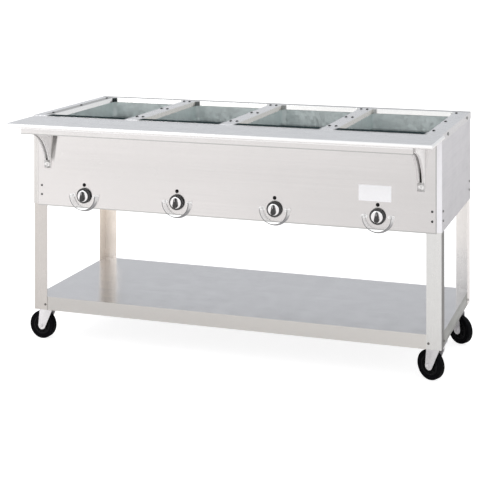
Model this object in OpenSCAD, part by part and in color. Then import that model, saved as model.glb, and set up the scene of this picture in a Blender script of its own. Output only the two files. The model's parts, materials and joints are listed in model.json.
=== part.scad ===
/* [Cabinet] */
// Width of the cabinet, across the deck
body_w = 1483; // [1440:1:1560]
// Depth of the cabinet, front panel to rear edge of the deck
body_d = 570; // [560:1:620]
// Height of the deck above the floor
deck_h = 825; // [800:1:900]
// Height of the bottom edge of the front panel
panel_bottom = 503; // [480:1:520]
// Height of the bottom edge of the side and rear panels
side_bottom = 508; // [490:1:525]
// Thickness of the stainless sheet
sheet = 1.5; // [1:0.1:2]
// Depth of the turned-down edge of the deck
deck_flange = 25; // [20:1:30]
// Width of the strip that each side panel folds round the corner
wrap = 17.5; // [12:0.5:25]

/* [Wells] */
// Number of hot food wells
wells = 4; // [1:1:4]
// Distance between well centres
well_pitch = 355.6; // [352:0.1:358]
// Clear width of a well inside its collar
well_w = 305.5; // [300:0.5:308]
// Clear length of a well inside its collar, front to rear
well_l = 504.5; // [500:0.5:510]
// Distance from the front panel to the wells' front edge on the deck
well_front = 33; // [30:1:40]
// Corner radius inside a collar
well_r = 17; // [12:1:25]
// Bend radius at the rim of a collar
rim_r = 3; // [2:0.5:4]
// Depth of the turned-down collar
collar_h = 18; // [14:1:25]
// Depth of a well liner below the deck
liner_depth = 203; // [150:1:210]
// Thickness of the galvanised liner sheet
liner_t = 1; // [0.8:0.1:1.5]

/* [Front shelf] */
// Length of the front shelf
shelf_w = 1490; // [1485:1:1570]
// Offset of the front shelf from the middle of the cabinet
shelf_dx = 4; // [-10:1:10]
// Reach of the front shelf in front of the cabinet
shelf_reach = 205; // [180:1:220]
// Drop of the shelf surface below the deck
shelf_drop = 2; // [0:0.5:4]
// Radius of the rolled edge of the shelf
roll_r = 7; // [5:0.5:9]
// Depth of the front skirt below the shelf surface
shelf_skirt = 34; // [28:1:40]
// Half of the distance between the brackets' middles
bracket_x = 677.5; // [600:0.5:700]
// Offset of the pair of brackets from the middle of the cabinet
bracket_dx = -6; // [-15:1:15]
// Width of a shelf bracket
bracket_w = 24; // [20:1:30]
// Reach of a shelf bracket in front of the panel
bracket_reach = 140; // [120:1:150]
// Height of the lower tip of a shelf bracket
bracket_bottom = 638; // [620:1:660]

/* [Controls] */
// Offset of each control from its well's middle
control_dx = -6; // [-15:1:15]
// Height of the knobs' axis
knob_z = 547.5; // [545:0.5:555]
// Diameter of a knob's black skirt
knob_d = 54; // [50:1:60]
// Diameter of a knob's bright face
face_d = 40; // [36:1:46]
// Depth of a knob, panel to bright face
knob_depth = 14; // [12:1:20]
// Height of the pilot lights
pilot_z = 585; // [582:0.5:590]
// Diameter of a pilot light
pilot_d = 13; // [10:1:14]
// Radius of a knob guard at the panel
guard_base_r = 56; // [52:0.5:60]
// Radius of a knob guard at its front edge
guard_front_r = 48.5; // [44:0.5:50]
// Depth of a knob guard
guard_depth = 19; // [15:1:20]

/* [Base] */
// Width of each flange of a leg
leg_w = 50; // [45:1:55]
// Thickness of a leg
leg_t = 2; // [1.5:0.5:3]
// Height of the undershelf's surface
undershelf_h = 175; // [170:1:180]
// Height of the undershelf's lower edge
base_h = 127; // [125:1:130]

/* [Casters] */
// Diameter of a caster wheel
wheel_d = 100; // [95:1:102]
// Width of a caster wheel
wheel_w = 24; // [22:1:30]
// Lead of a caster, swivel axis to axle
lead = 32; // [28:1:34]
// Distance of the front casters from the middle of the cabinet
front_caster_x = 714; // [700:1:714]
// Distance of the rear casters from the middle of the cabinet
rear_caster_x = 691; // [688:1:714]
// Distance of the front casters from the front face
front_inset = 77; // [65:1:90]
// Distance of the rear casters from the rear face
rear_inset = 69; // [65:1:90]

/* [Hidden] */
$fn = 48;

steel = [0.80, 0.81, 0.83];
bright = [0.90, 0.91, 0.92];
galvanised = [0.62, 0.66, 0.65];
black = [0.06, 0.06, 0.07];
zinc = [0.74, 0.74, 0.76];

// Faces of the cabinet. The origin is on the floor, in the middle of the overall width and depth.
y_front = shelf_reach / 2 - body_d / 2;
y_rear = y_front + body_d;
side_x = body_w / 2 - sheet;
seam_x = side_x - wrap;
panel_in = sheet;
rear_in = 2 * sheet;
deck_under = deck_h - sheet;

// Wells.
well_y = y_front + well_front + rim_r + well_l / 2;
function well_x(i) = (i - (wells + 1) / 2) * well_pitch;
screw_row_gap = 217;
screw_out = 13.55;
liner_bottom = deck_h - liner_depth;
hanger_w = 18;

// Legs and undershelf.
leg_x = side_x - sheet - 0.5;
leg_front = y_front + panel_in;
leg_rear = y_rear - rear_in;
leg_top = deck_h - deck_flange - 10;
shelf_x = leg_x - leg_t;
shelf_front = leg_front + leg_t;
shelf_rear = leg_rear - leg_t;

// Cabinet details.
return_w = 16;
return_x = 680;
edge_screw_x = 708;
cable_hole = [600, 572];
cable_hole_r = 11;

// Screws.
head_r = 4;
head_h = 2.4;
shank_r = 2;
hole_r = 2.1;

// Casters.
wheel_r = wheel_d / 2;
axle_r = 4;
running_gap = 0.05;
plate_t = 3;
plate_w = 48;
plate_l = 84;
bolt_x = 12;
bolt_y = 32;
bolt_r = 3;
nut_r = 5.7;
race_r = 19;
race_z = base_h - plate_t - 5;
crown_z = race_z - 5.5;
arm_t = 2.5;
arm_gap = wheel_w + 4;
king_r = 5;
channel_in = 664;
channel_out = 734;

// Each caster: side (-1 left, 1 right), end (-1 front, 1 rear), swivel axis distance, trailing direction.
casters = [
    [-1, -1, front_caster_x, 176],
    [1, -1, front_caster_x, 152],
    [-1, 1, rear_caster_x, 155],
    [1, 1, rear_caster_x, -33]
];

// ---- Shared shapes -------------------------------------------------------------------------

// Box from a low corner to a high corner.
module block(low, high) {
    translate(low) cube([high[0] - low[0], high[1] - low[1], high[2] - low[2]]);
}

// Rectangle with round corners, centred.
module round_rect(w, l, r) {
    square([w - 2 * r, l], center = true);
    square([w, l - 2 * r], center = true);
    for (x = [-1, 1], y = [-1, 1]) translate([x * (w / 2 - r), y * (l / 2 - r)]) circle(r);
}

// Upright wall of a rectangular tube with round corners.
module tube_wall(w, l, r, t, h) {
    linear_extrude(h) difference() {
        round_rect(w + 2 * t, l + 2 * t, r + t);
        round_rect(w, l, r);
    }
}

// Sweeps a profile round a rectangle with round corners. The profile's x runs outwards from the
// rectangle and its y runs up.
module sweep_round(w, l, r) {
    for (k = [0:3]) {
        odd = k % 2;
        half_x = (odd == 0 ? w : l) / 2;
        half_y = (odd == 0 ? l : w) / 2;
        rotate(k * 90) {
            translate([half_x - r, half_y - r, 0]) rotate_extrude(angle = 90) translate([r, 0]) children();
            translate([half_x, half_y - r, 0]) rotate([90, 0, 0])
                linear_extrude(2 * (half_y - r)) children();
        }
    }
}

// Cylinder along +Y from y0 to y1 at the given x and z.
module rod_y(x, z, y0, y1, r) {
    translate([x, y0, z]) rotate([-90, 0, 0]) cylinder(h = y1 - y0, r = r);
}

// Cylinder along +X from x0 to x1 at the given y and z.
module rod_x(y, z, x0, x1, r) {
    translate([x0, y, z]) rotate([0, 90, 0]) cylinder(h = x1 - x0, r = r);
}

// Pan-head screw with its head's underside at the origin and its shank along -Z.
module screw(length) {
    difference() {
        union() {
            cylinder(h = head_h * 0.45, r = head_r);
            translate([0, 0, head_h * 0.45]) cylinder(h = head_h * 0.55, r1 = head_r, r2 = head_r * 0.62);
            translate([0, 0, -length]) cylinder(h = length, r = shank_r);
        }
        for (a = [0, 90]) rotate(a) translate([-2, -0.5, head_h - 1.1]) cube([4, 1, 2]);
    }
}

// ---- Deck and wells ------------------------------------------------------------------------

// Places its children at every deck screw, at the deck's surface.
module at_deck_screws() {
    for (i = [1:wells], side = [-1, 1], row = [-1:1])
        translate([well_x(i) + side * (well_w / 2 + screw_out), well_y + row * screw_row_gap, deck_h])
            children();
}

// Section of a collar: a bend at the rim, then a wall that hangs down.
module collar_section() {
    intersection() {
        difference() {
            translate([rim_r, -rim_r]) circle(rim_r);
            translate([rim_r, -rim_r]) circle(rim_r - sheet);
        }
        translate([0, -rim_r]) square(rim_r);
    }
    translate([0, -collar_h]) square([sheet, collar_h - rim_r]);
}

module top_deck() {
    color(steel) difference() {
        union() {
            block([-body_w / 2, y_front, deck_under], [body_w / 2, y_rear, deck_h]);
            for (side = [-1, 1]) translate([side * (body_w - sheet) / 2, 0, 0])
                block([-sheet / 2, y_front, deck_h - deck_flange], [sheet / 2, y_rear, deck_h]);
            block([-body_w / 2, y_rear - sheet, deck_h - deck_flange], [body_w / 2, y_rear, deck_h]);
            block([-seam_x, y_front + panel_in, deck_h - deck_flange],
                [seam_x, y_front + panel_in + sheet, deck_h]);
        }
        for (i = [1:wells]) translate([well_x(i), well_y, deck_h - 10]) linear_extrude(20)
            round_rect(well_w + 2 * rim_r, well_l + 2 * rim_r, well_r + rim_r);
        at_deck_screws() translate([0, 0, -5]) cylinder(h = 10, r = hole_r);
        at_deck_side_screws() translate([0, 0, -5]) cylinder(h = 10, r = hole_r);
    }
    color(steel) for (i = [1:wells]) translate([well_x(i), well_y, deck_h])
        sweep_round(well_w, well_l, well_r) collar_section();
}

// A dry well: galvanised walls, a floor and a hanger flange under the deck.
module well_liner(i) {
    in_w = well_w + 2 * rim_r;
    in_l = well_l + 2 * rim_r;
    in_r = well_r + rim_r;
    hang_z = deck_under - liner_t;
    color(galvanised) difference() {
        translate([well_x(i), well_y, 0]) {
            translate([0, 0, liner_bottom])
                tube_wall(in_w, in_l, in_r, liner_t, hang_z + liner_t - liner_bottom);
            translate([0, 0, liner_bottom]) linear_extrude(liner_t)
                round_rect(in_w + liner_t, in_l + liner_t, in_r);
            translate([0, 0, hang_z]) tube_wall(in_w, in_l, in_r, hanger_w - rim_r, liner_t);
            for (y = [-1, 1]) translate([0, y * well_l / 4, liner_bottom + liner_t])
                rotate([0, 90, 0]) translate([0, 0, -well_w / 2 + 20]) cylinder(h = well_w - 40, r = rest_r);
        }
        at_deck_screws() translate([0, 0, -8]) cylinder(h = 10, r = hole_r);
        for (x = [-1, 1]) rod_y(well_x(i) + x * element_half, element_z,
            well_y - in_l / 2 - 10, well_y - in_l / 2 + 10, element_r + 0.5);
    }
}

// Tubular heaters: four straight runs joined by three bends, with cold ends through the front wall.
element_r = 4;
element_half = 105;
bend_r = element_half / 3;
rest_r = 6;
element_z = liner_bottom + liner_t + rest_r + element_r;
element_run = well_l / 2 - 30;

module tube_bend(x, y, turn) {
    translate([x, y, element_z]) rotate(turn) rotate_extrude(angle = 180)
        translate([bend_r, 0]) circle(element_r);
}

module heating_element(i) {
    x0 = well_x(i);
    rear = well_y + element_run - bend_r;
    front = well_y - element_run + bend_r;
    cold_end = well_y - well_l / 2 - 18;
    for (side = [-1, 1]) {
        rod_y(x0 + side * element_half, element_z, cold_end, rear, element_r);
        rod_y(x0 + side * bend_r, element_z, front, rear, element_r);
        tube_bend(x0 + side * 2 * bend_r, rear, 0);
    }
    tube_bend(x0, front, 180);
}

module heating_elements() {
    color([0.42, 0.40, 0.38]) for (i = [1:wells]) heating_element(i);
}

// Glass-fibre boards between the wells and at the two ends.
module insulation_boards() {
    wall = well_w / 2 + rim_r + liner_t;
    low = liner_bottom + 5;
    high = deck_under - 6;
    gap = 1;
    color([0.86, 0.80, 0.55]) {
        for (i = [1:1:wells - 1]) block([well_x(i) + wall + gap, well_y - well_l / 2 + 10, low],
            [well_x(i + 1) - wall - gap, well_y + well_l / 2 - 10, high]);
        for (side = [-1, 1]) translate([side * (well_x(wells) + wall + gap + 15), 0, 0])
            block([-15, well_y - well_l / 2 + 30, low], [15, well_y + well_l / 2 - 30, high]);
    }
}

module deck_screws() {
    color([0.35, 0.35, 0.36]) at_deck_screws() screw(6);
    color([0.35, 0.35, 0.36]) at_deck_side_screws() screw(3);
}

// ---- Cabinet panels ------------------------------------------------------------------------

// Places its children on the deck's side flanges, with +Z pointing outwards.
module at_deck_side_screws() {
    for (side = [-1, 1], y = [100, 485])
        translate([side * body_w / 2, y_front + y, deck_h - 12]) rotate([0, side * 90, 0]) children();
}

// Places its children on the side panels, with +Z pointing outwards.
module at_side_screws() {
    for (side = [-1, 1], y = [22, 546], z = [574, 543])
        translate([side * side_x, y_front + y, z]) rotate([0, side * 90, 0]) children();
}

// Places its children on the front panel, with +Z pointing forwards.
module at_front_screws() {
    for (side = [-1, 1], z = [574.5, 542.5])
        translate([side * edge_screw_x, y_front, z]) rotate([90, 0, 0]) children();
}

// Places its children on the rear panel, with +Z pointing rearwards.
module at_rear_screws() {
    for (side = [-1, 1], z = [770, 660, 543])
        translate([side * edge_screw_x, y_rear - sheet, z]) rotate([-90, 0, 0]) children();
}

// Places its children at each control's axis on the front panel.
module at_controls() {
    for (i = [1:wells]) translate([well_x(i) + control_dx, y_front, 0]) children();
}

guard_screw_x = 44;
ear_in = 34;

module front_panel() {
    color(steel) difference() {
        union() {
            block([-seam_x + 0.3, y_front, panel_bottom], [seam_x - 0.3, y_front + sheet, deck_under]);
            block([-return_x, y_front, panel_bottom], [return_x, y_front + return_w, panel_bottom + sheet]);
        }
        at_front_screws() translate([0, 0, -5]) cylinder(h = 10, r = hole_r);
        at_bracket_screws() translate([0, 0, -15]) cylinder(h = 30, r = hole_r);
        at_controls() {
            rod_y(0, knob_z, -5, 5, 5.2);
            rod_y(0, pilot_z, -5, 5, pilot_d / 2 - 1);
            for (side = [-1, 1]) rod_y(side * guard_screw_x, knob_z, -5, 5, hole_r);
        }
    }
}

module side_panel(side) {
    y1 = y_rear - sheet;
    color(steel) difference() {
        translate([side < 0 ? -side_x : side_x - sheet, 0, 0])
            block([0, y_front, side_bottom], [sheet, y1, deck_under]);
        at_side_screws() translate([0, 0, -5]) cylinder(h = 10, r = hole_r);
        at_deck_side_screws() translate([0, 0, -5]) cylinder(h = 10, r = hole_r);
    }
    color(steel) for (y = [y_front, y1 - sheet]) translate([side < 0 ? -side_x : seam_x, 0, 0])
        block([0, y, side_bottom], [wrap, y + sheet, deck_under]);
    color(steel) translate([side < 0 ? -side_x : side_x - return_w, 0, 0])
        block([0, y_front + 60, side_bottom], [return_w, y1 - 60, side_bottom + sheet]);
}

module left_side_panel() { side_panel(-1); }
module right_side_panel() { side_panel(1); }

module rear_panel() {
    y1 = y_rear - sheet;
    color(steel) difference() {
        union() {
            block([-seam_x + 0.3, y1 - sheet, side_bottom], [seam_x - 0.3, y1, deck_under]);
            block([-return_x, y1 - return_w, side_bottom], [return_x, y1, side_bottom + sheet]);
        }
        at_rear_screws() translate([0, 0, -5]) cylinder(h = 10, r = hole_r);
        rod_y(cable_hole[0], cable_hole[1], y1 - 5, y1 + 5, cable_hole_r);
    }
}

// Closes the control space from below, notched round the four legs.
module bottom_pan() {
    x1 = leg_x - leg_t - 0.5;
    y0 = shelf_front + 0.5;
    y1 = shelf_rear - 0.5;
    z = side_bottom + sheet + 0.5;
    notch = leg_w + 4;
    lip = 20;
    t = 1.2;
    color(galvanised) {
        block([-x1, y0 + notch, z], [x1, y1 - notch, z + t]);
        block([-x1 + notch, y0, z], [x1 - notch, y1, z + t]);
        for (x = [-x1, x1 - t]) block([x, y0 + notch, z], [x + t, y1 - notch, z + lip]);
        for (y = [y0, y1 - t]) block([-x1 + notch, y, z], [x1 - notch, y + t, z + lip]);
    }
}

// Screws of the front, side and rear panels, the brackets and the knob guards.
module panel_screws() {
    color([0.45, 0.45, 0.46]) {
        at_front_screws() screw(7);
        at_side_screws() screw(7);
        at_rear_screws() screw(7);
        at_bracket_screws() screw(11);
        at_controls() for (side = [-1, 1])
            translate([side * guard_screw_x, -sheet, knob_z]) rotate([90, 0, 0]) screw(6);
    }
}

// ---- Front shelf ---------------------------------------------------------------------------

shelf_z = deck_h - shelf_drop;
shelf_y = y_front - shelf_reach;

// Section of the rolled edge: a half ring that opens inwards.
module roll_section() {
    intersection() {
        difference() {
            circle(roll_r);
            circle(roll_r - sheet);
        }
        translate([0, -roll_r]) square([roll_r, 2 * roll_r]);
    }
}

skirt_half = 682;
shelf_fold_half = 650;
hem_w = 14;

module front_shelf() {
    x1 = shelf_w / 2 - roll_r;
    y0 = shelf_y + roll_r;
    z = shelf_z - roll_r;
    bottom = shelf_z - shelf_skirt;
    color(bright) translate([shelf_dx, 0, 0]) {
        block([-x1, y0, shelf_z - sheet], [x1, y_front, shelf_z]);
        translate([x1, y0, z]) rotate([90, 0, -90]) linear_extrude(2 * x1) roll_section();
        translate([x1, y_front, z]) rotate([90, 0, 0]) linear_extrude(y_front - y0) roll_section();
        translate([-x1, y0, z]) rotate([90, 0, 180]) linear_extrude(y_front - y0) roll_section();
        translate([x1, y0, z]) rotate(-90) rotate_extrude(angle = 90) roll_section();
        translate([-x1, y0, z]) rotate(180) rotate_extrude(angle = 90) roll_section();
        block([-skirt_half, y0, bottom], [skirt_half, y0 + sheet, z - roll_r + sheet]);
        block([-skirt_half, y0, bottom], [skirt_half, y0 + hem_w, bottom + sheet]);
        block([-shelf_fold_half, y_front - sheet, bottom], [shelf_fold_half, y_front, shelf_z]);
    }
}

// A pressed bracket: two side walls and a back, open towards the front, with a concave front edge
// and a solid foot.
wall_t = 8;
back_t = 3;
foot_t = 4;
shelf_under = shelf_z - sheet;
curve_r = 154;
curve_z = 632;
slot_bottom = 672;
foot_screw_z = 14;
seat = 4.5;

// Places its children on the foot of each bracket, with +Z pointing forwards.
module at_bracket_screws() {
    for (side = [-1, 1])
        translate([side * bracket_x + bracket_dx, y_front - seat, bracket_bottom + foot_screw_z])
            rotate([90, 0, 0]) children();
}

// Side view of a bracket.
module bracket_side() {
    difference() {
        translate([-bracket_reach, bracket_bottom]) square([bracket_reach, shelf_under - bracket_bottom]);
        translate([-foot_t - curve_r, curve_z]) circle(curve_r, $fn = 96);
    }
}

module shelf_bracket(side) {
    color(zinc) translate([side * bracket_x + bracket_dx, y_front, 0]) rotate([90, 0, 90]) difference() {
        translate([0, 0, -bracket_w / 2]) linear_extrude(bracket_w) bracket_side();
        translate([-bracket_reach - 1, slot_bottom, -bracket_w / 2 + wall_t])
            cube([bracket_reach + 1 - back_t, shelf_under - slot_bottom + 1, bracket_w - 2 * wall_t]);
        translate([-15, bracket_bottom + foot_screw_z, 0]) rotate([0, 90, 0])
            cylinder(h = 20, r = hole_r);
        translate([-15 - seat, bracket_bottom + foot_screw_z, 0]) rotate([0, 90, 0])
            cylinder(h = 15, r = head_r + 0.8);
    }
}

module left_shelf_bracket() { shelf_bracket(-1); }
module right_shelf_bracket() { shelf_bracket(1); }

// ---- Controls ------------------------------------------------------------------------------

guard_t = 1.2;

// Half-round sloping guards under the knobs, each with two ears that are screwed to the panel.
module knob_guards() {
    color(bright) at_controls() translate([0, 0, knob_z]) difference() {
        union() {
            rotate([90, 180, 0]) rotate_extrude(angle = 180) polygon([
                [guard_base_r - guard_t, 0], [guard_base_r, 0],
                [guard_front_r, guard_depth], [guard_front_r - guard_t, guard_depth]]);
            for (side = [-1, 1]) block([side < 0 ? 0.6 - guard_base_r : ear_in, -sheet, -8],
                [side < 0 ? -ear_in : guard_base_r - 0.6, 0, 6]);
        }
        for (side = [-1, 1]) rod_y(side * guard_screw_x, 0, -5, 5, hole_r);
    }
}

shaft_r = 3;
disc_t = 1.2;

// Outline of the grip: broad at the foot and narrow at the pointing end, enlarged by the given gap.
// Its straight sides cut a hair's breadth into the two circles, so that they meet at true corners.
module grip_outline(gap) {
    foot = [0, -9];
    tip = [0, 12.5];
    foot_r = 9 + gap;
    tip_r = 4.5 + gap;
    bite = 0.03;
    right = tangent_line(foot, foot_r - bite, tip, tip_r - bite);
    translate(foot) circle(foot_r);
    translate(tip) circle(tip_r);
    polygon([right[0], right[1], [-right[1][0], right[1][1]], [-right[0][0], right[0][1]]]);
}

// The two points where the outer right-hand tangent touches two circles, the second above the first.
function tangent_line(c0, r0, c1, r1) =
    let (a = asin((r0 - r1) / (c1[1] - c0[1])))
    [c0 + r0 * [cos(a), sin(a)], c1 + r1 * [cos(a), sin(a)]];

// A knob's black body, measured forwards from the panel, with a raised grip and a blind bore.
module knob_body() {
    face_r = face_d / 2;
    grip_h = 11;
    rotate([90, 0, 0]) difference() {
        union() {
            rotate_extrude() polygon([
                [0, 4], [knob_d / 2, 4], [knob_d / 2, 7], [face_r + 2.2, knob_depth - 1.5],
                [face_r + 0.4, knob_depth], [face_r + 0.05, knob_depth - disc_t], [0, knob_depth - disc_t]]);
            translate([0, 0, knob_depth - disc_t]) linear_extrude(grip_h) grip_outline(0);
        }
        translate([0, 0, 2]) cylinder(h = 16, r = shaft_r + running_gap);
    }
}

// The bright disc let into the knob's face, cut out round the grip.
module knob_disc() {
    rotate([90, 0, 0]) translate([0, 0, knob_depth - disc_t]) linear_extrude(disc_t) difference() {
        circle(face_d / 2);
        grip_outline(0.05);
    }
}

module at_control(i) {
    translate([well_x(i) + control_dx, y_front, knob_z]) children();
}

module control_knob(i) { color(black) at_control(i) knob_body(); }
module knob_face(i) { color([0.95, 0.95, 0.96]) at_control(i) knob_disc(); }
module switch_shaft(i) { color(zinc) at_control(i) rod_y(0, 0, -17, 20, shaft_r); }

// Energy regulators behind the panel: a case, a bush through the panel and five blade terminals.
module infinite_switches() {
    color([0.20, 0.20, 0.22]) at_controls() translate([0, 0, knob_z]) difference() {
        union() {
            block([-20, sheet + 0.2, -16], [20, 34, 20]);
            rod_y(0, 0, -1.5, sheet + 1, 4.8);
            for (k = [-2:2]) block([k * 7 - 0.4, 33, -8], [k * 7 + 0.4, 43, -2]);
        }
        rod_y(0, 0, -2, 21, shaft_r + running_gap);
    }
}

// Pilot lights: a domed lens in front of the panel and a body behind it.
module pilot_lights() {
    color(black) at_controls() translate([0, 0, pilot_z]) {
        rotate([90, 0, 0]) rotate_extrude() polygon([
            [0, 0], [pilot_d / 2, 0], [pilot_d / 2, 0.8], [pilot_d / 2 - 1, 2.2],
            [pilot_d / 2 - 3, 3.1], [0, 3.4]]);
        rod_y(0, 0, 0, 24, pilot_d / 2 - 1.1);
    }
}

label_low = [463, 596];
label_high = [573, 649];

module rating_label() {
    color("white") block([label_low[0], y_front - 0.3, label_low[1]],
        [label_high[0], y_front, label_high[1]]);
}

// Supply terminals in a small steel box at the right-hand rear of the control space.
box_x = 540;
box_z = 533;
box_size = [120, 60, 79];
box_t = 2;
loom_r = 7;
loom_drop_z = 585;

module terminal_box() {
    y1 = y_rear - rear_in - 1;
    y0 = y1 - box_size[1];
    color([0.7, 0.7, 0.72]) {
        difference() {
            block([box_x, y0, box_z], [box_x + box_size[0], y1, box_z + box_size[2]]);
            block([box_x + box_t, y0 + box_t, box_z + box_t],
                [box_x + box_size[0] - box_t, y1 - box_t, box_z + box_size[2] - box_t]);
            rod_y(cable_hole[0], cable_hole[1], y1 - 5, y1 + 5, cable_hole_r);
            rod_x(y1 - 30, loom_drop_z, box_x - 10, box_x + 10, loom_r + 2);
        }
        for (k = [0:2]) block([box_x + 30 + k * 20, y1 - 40, box_z + box_t],
            [box_x + 42 + k * 20, y1 - 20, box_z + 20]);
    }
}

// One bundle along the control space, with a branch down to each switch.
module wiring_loom() {
    x1 = 500;
    y = y_front + 60;
    z = 600;
    end_y = y_rear - rear_in - 31;
    branch_r = 4;
    color([0.55, 0.10, 0.08]) {
        rod_x(y, z, well_x(1) + control_dx, x1, loom_r);
        translate([x1, y, z]) sphere(loom_r);
        rod_y(x1, z, y, end_y, loom_r);
        translate([x1, end_y, z]) sphere(loom_r);
        translate([x1, end_y, loom_drop_z]) cylinder(h = z - loom_drop_z, r = loom_r);
        translate([x1, end_y, loom_drop_z]) sphere(loom_r);
        rod_x(end_y, loom_drop_z, x1, box_x + 12, loom_r);
        for (i = [1:wells]) translate([well_x(i) + control_dx, y, knob_z]) {
            cylinder(h = z - knob_z, r = branch_r);
            sphere(branch_r);
            rod_y(0, 0, -14, 0, branch_r);
        }
    }
}

// ---- Legs and undershelf -------------------------------------------------------------------

// An angle leg; side is -1 or 1, end is -1 for front or 1 for rear.
module leg(side, end) {
    face = end < 0 ? leg_front : leg_rear - leg_t;
    y0 = end < 0 ? leg_front : leg_rear - leg_w;
    color(bright) difference() {
        union() {
            translate([side < 0 ? -leg_x : leg_x - leg_w, 0, 0])
                block([0, face, base_h + 1], [leg_w, face + leg_t, leg_top]);
            translate([side < 0 ? -leg_x : leg_x - leg_t, 0, 0])
                block([0, y0, base_h + 1], [leg_t, y0 + leg_w, leg_top]);
        }
        at_leg_screws() translate([0, 0, -6]) cylinder(h = 12, r = hole_r);
        at_front_screws() translate([0, 0, -10]) cylinder(h = 12, r = hole_r);
        at_rear_screws() translate([0, 0, -10]) cylinder(h = 12, r = hole_r);
        at_side_screws() translate([0, 0, -10]) cylinder(h = 12, r = hole_r);
    }
}

module front_left_leg() { leg(-1, -1); }
module front_right_leg() { leg(1, -1); }
module rear_left_leg() { leg(-1, 1); }
module rear_right_leg() { leg(1, 1); }

// Places its children on the legs at the undershelf, with +Z pointing outwards.
module at_leg_screws() {
    z = base_h + 20;
    inset = leg_w - 7;
    for (side = [-1, 1]) {
        translate([side * (leg_x - inset), leg_front, z]) rotate([90, 0, 0]) children();
        translate([side * (leg_x - inset), leg_rear, z]) rotate([-90, 0, 0]) children();
        for (y = [leg_front + inset, leg_rear - inset])
            translate([side * leg_x, y, z]) rotate([0, side * 90, 0]) children();
    }
}

module leg_screws() {
    color([0.45, 0.45, 0.46]) at_leg_screws() screw(6);
}

// A tray turned down on all four sides, inside the legs.
module undershelf() {
    color(steel) difference() {
        block([-shelf_x, shelf_front, base_h], [shelf_x, shelf_rear, undershelf_h]);
        block([-shelf_x + sheet, shelf_front + sheet, base_h - 1],
            [shelf_x - sheet, shelf_rear - sheet, undershelf_h - sheet]);
        at_leg_screws() translate([0, 0, -6]) cylinder(h = 12, r = hole_r);
    }
}

// Two channels under the undershelf, front to rear, that carry the casters.
module caster_channels() {
    y0 = shelf_front + sheet + 0.5;
    y1 = shelf_rear - sheet - 0.5;
    top = undershelf_h - sheet;
    color(galvanised) difference() {
        for (side = [-1, 1]) translate([side < 0 ? -channel_out : channel_in, 0, 0]) difference() {
            block([0, y0, base_h], [channel_out - channel_in, y1, top]);
            block([2, y0 - 1, base_h + 2], [channel_out - channel_in - 2, y1 + 1, top + 1]);
        }
        at_caster_bolts() translate([0, 0, -5]) cylinder(h = 12, r = bolt_r + 0.1);
        at_leg_screws() translate([0, 0, -8]) cylinder(h = 12, r = 3);
    }
}

// ---- Casters -------------------------------------------------------------------------------

function caster_y(end) = end < 0 ? y_front + front_inset : y_rear - rear_inset;

// Places its children at a caster's swivel axis on the floor.
module at_swivel(c) {
    translate([c[0] * c[2], caster_y(c[1]), 0]) children();
}

// The same, turned so that +X points the way the wheel trails.
module at_trail(c) {
    at_swivel(c) rotate(c[3]) children();
}

// Places its children at each caster bolt, on top of the channel's web.
module at_caster_bolts() {
    for (c = casters, x = [-bolt_x, bolt_x], y = [-bolt_y, bolt_y])
        at_swivel(c) translate([x, y, base_h]) children();
}

// Top plates with their swivel races and kingpins.
module caster_plates() {
    z = base_h - plate_t;
    color(zinc) difference() {
        for (c = casters) at_swivel(c) {
            translate([0, 0, z]) linear_extrude(plate_t) round_rect(plate_w, plate_l, 5);
            translate([0, 0, race_z]) cylinder(h = z - race_z, r = race_r);
            translate([0, 0, crown_z - 3]) cylinder(h = z - crown_z + 3, r = king_r);
            translate([0, 0, crown_z - 3]) cylinder(h = 2.7, r = 9);
        }
        at_caster_bolts() translate([0, 0, -8]) cylinder(h = 12, r = bolt_r + 0.1);
    }
}

// Bolts up through the plates and channels, each with its nut.
module caster_bolts() {
    color([0.6, 0.6, 0.62]) at_caster_bolts() {
        translate([0, 0, -plate_t - 4]) cylinder(h = 4, r = nut_r, $fn = 6);
        translate([0, 0, -plate_t - 1]) cylinder(h = plate_t + 11, r = bolt_r);
        translate([0, 0, 2]) difference() {
            cylinder(h = 5, r = nut_r, $fn = 6);
            translate([0, 0, -1]) cylinder(h = 7, r = bolt_r + 0.02);
        }
    }
}

crown_back = -19;
crown_front = 38;
crown_t = 3;
foot_r = 14.5;
fork_foot = [lead - 3, wheel_r - 1];

// Where a line from a point touches a circle; side is -1 or 1.
function touch(p, c, r, side) =
    let (d = p - c, a = atan2(d[1], d[0]) + side * acos(r / norm(d)))
    c + r * [cos(a), sin(a)];

// One tapering arm of a fork, in side view: x along the trail, y up.
module arm_outline() {
    back = [crown_back, crown_z - 11];
    front = [crown_front, crown_z - 11];
    polygon([[crown_back, crown_z + crown_t], back, touch(back, fork_foot, foot_r, 1),
        touch(front, fork_foot, foot_r, -1), front, [crown_front, crown_z + crown_t]]);
    translate(fork_foot) circle(foot_r);
}

module fork(c) {
    half = arm_gap / 2;
    color(zinc) at_trail(c) difference() {
        union() {
            for (y = [-half - arm_t, half]) translate([0, y + arm_t, 0]) rotate([90, 0, 0])
                linear_extrude(arm_t) arm_outline();
            block([crown_back, -half - arm_t, crown_z], [crown_front, half + arm_t, crown_z + crown_t]);
            translate([0, 0, crown_z + crown_t - 1])
                cylinder(h = race_z - 0.3 - crown_z - crown_t + 1, r = race_r - 3);
        }
        translate([0, 0, crown_z - 5]) cylinder(h = 20, r = king_r + running_gap);
        rod_y(lead, wheel_r, -half - 10, half + 10, axle_r + running_gap);
    }
}

axle_nut_r = 7;

module axle(c) {
    half = arm_gap / 2 + arm_t;
    color(zinc) at_trail(c) {
        rod_y(lead, wheel_r, -half - 1, half + 6.5, axle_r);
        translate([lead, -half - 4.5, wheel_r]) rotate([-90, 0, 0])
            cylinder(h = 4.4, r = axle_nut_r, $fn = 6);
        translate([lead, half + 0.1, wheel_r]) rotate([-90, 0, 0])
            cylinder(h = 5, r = axle_nut_r, $fn = 6);
    }
}

hub_r = 33;

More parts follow.
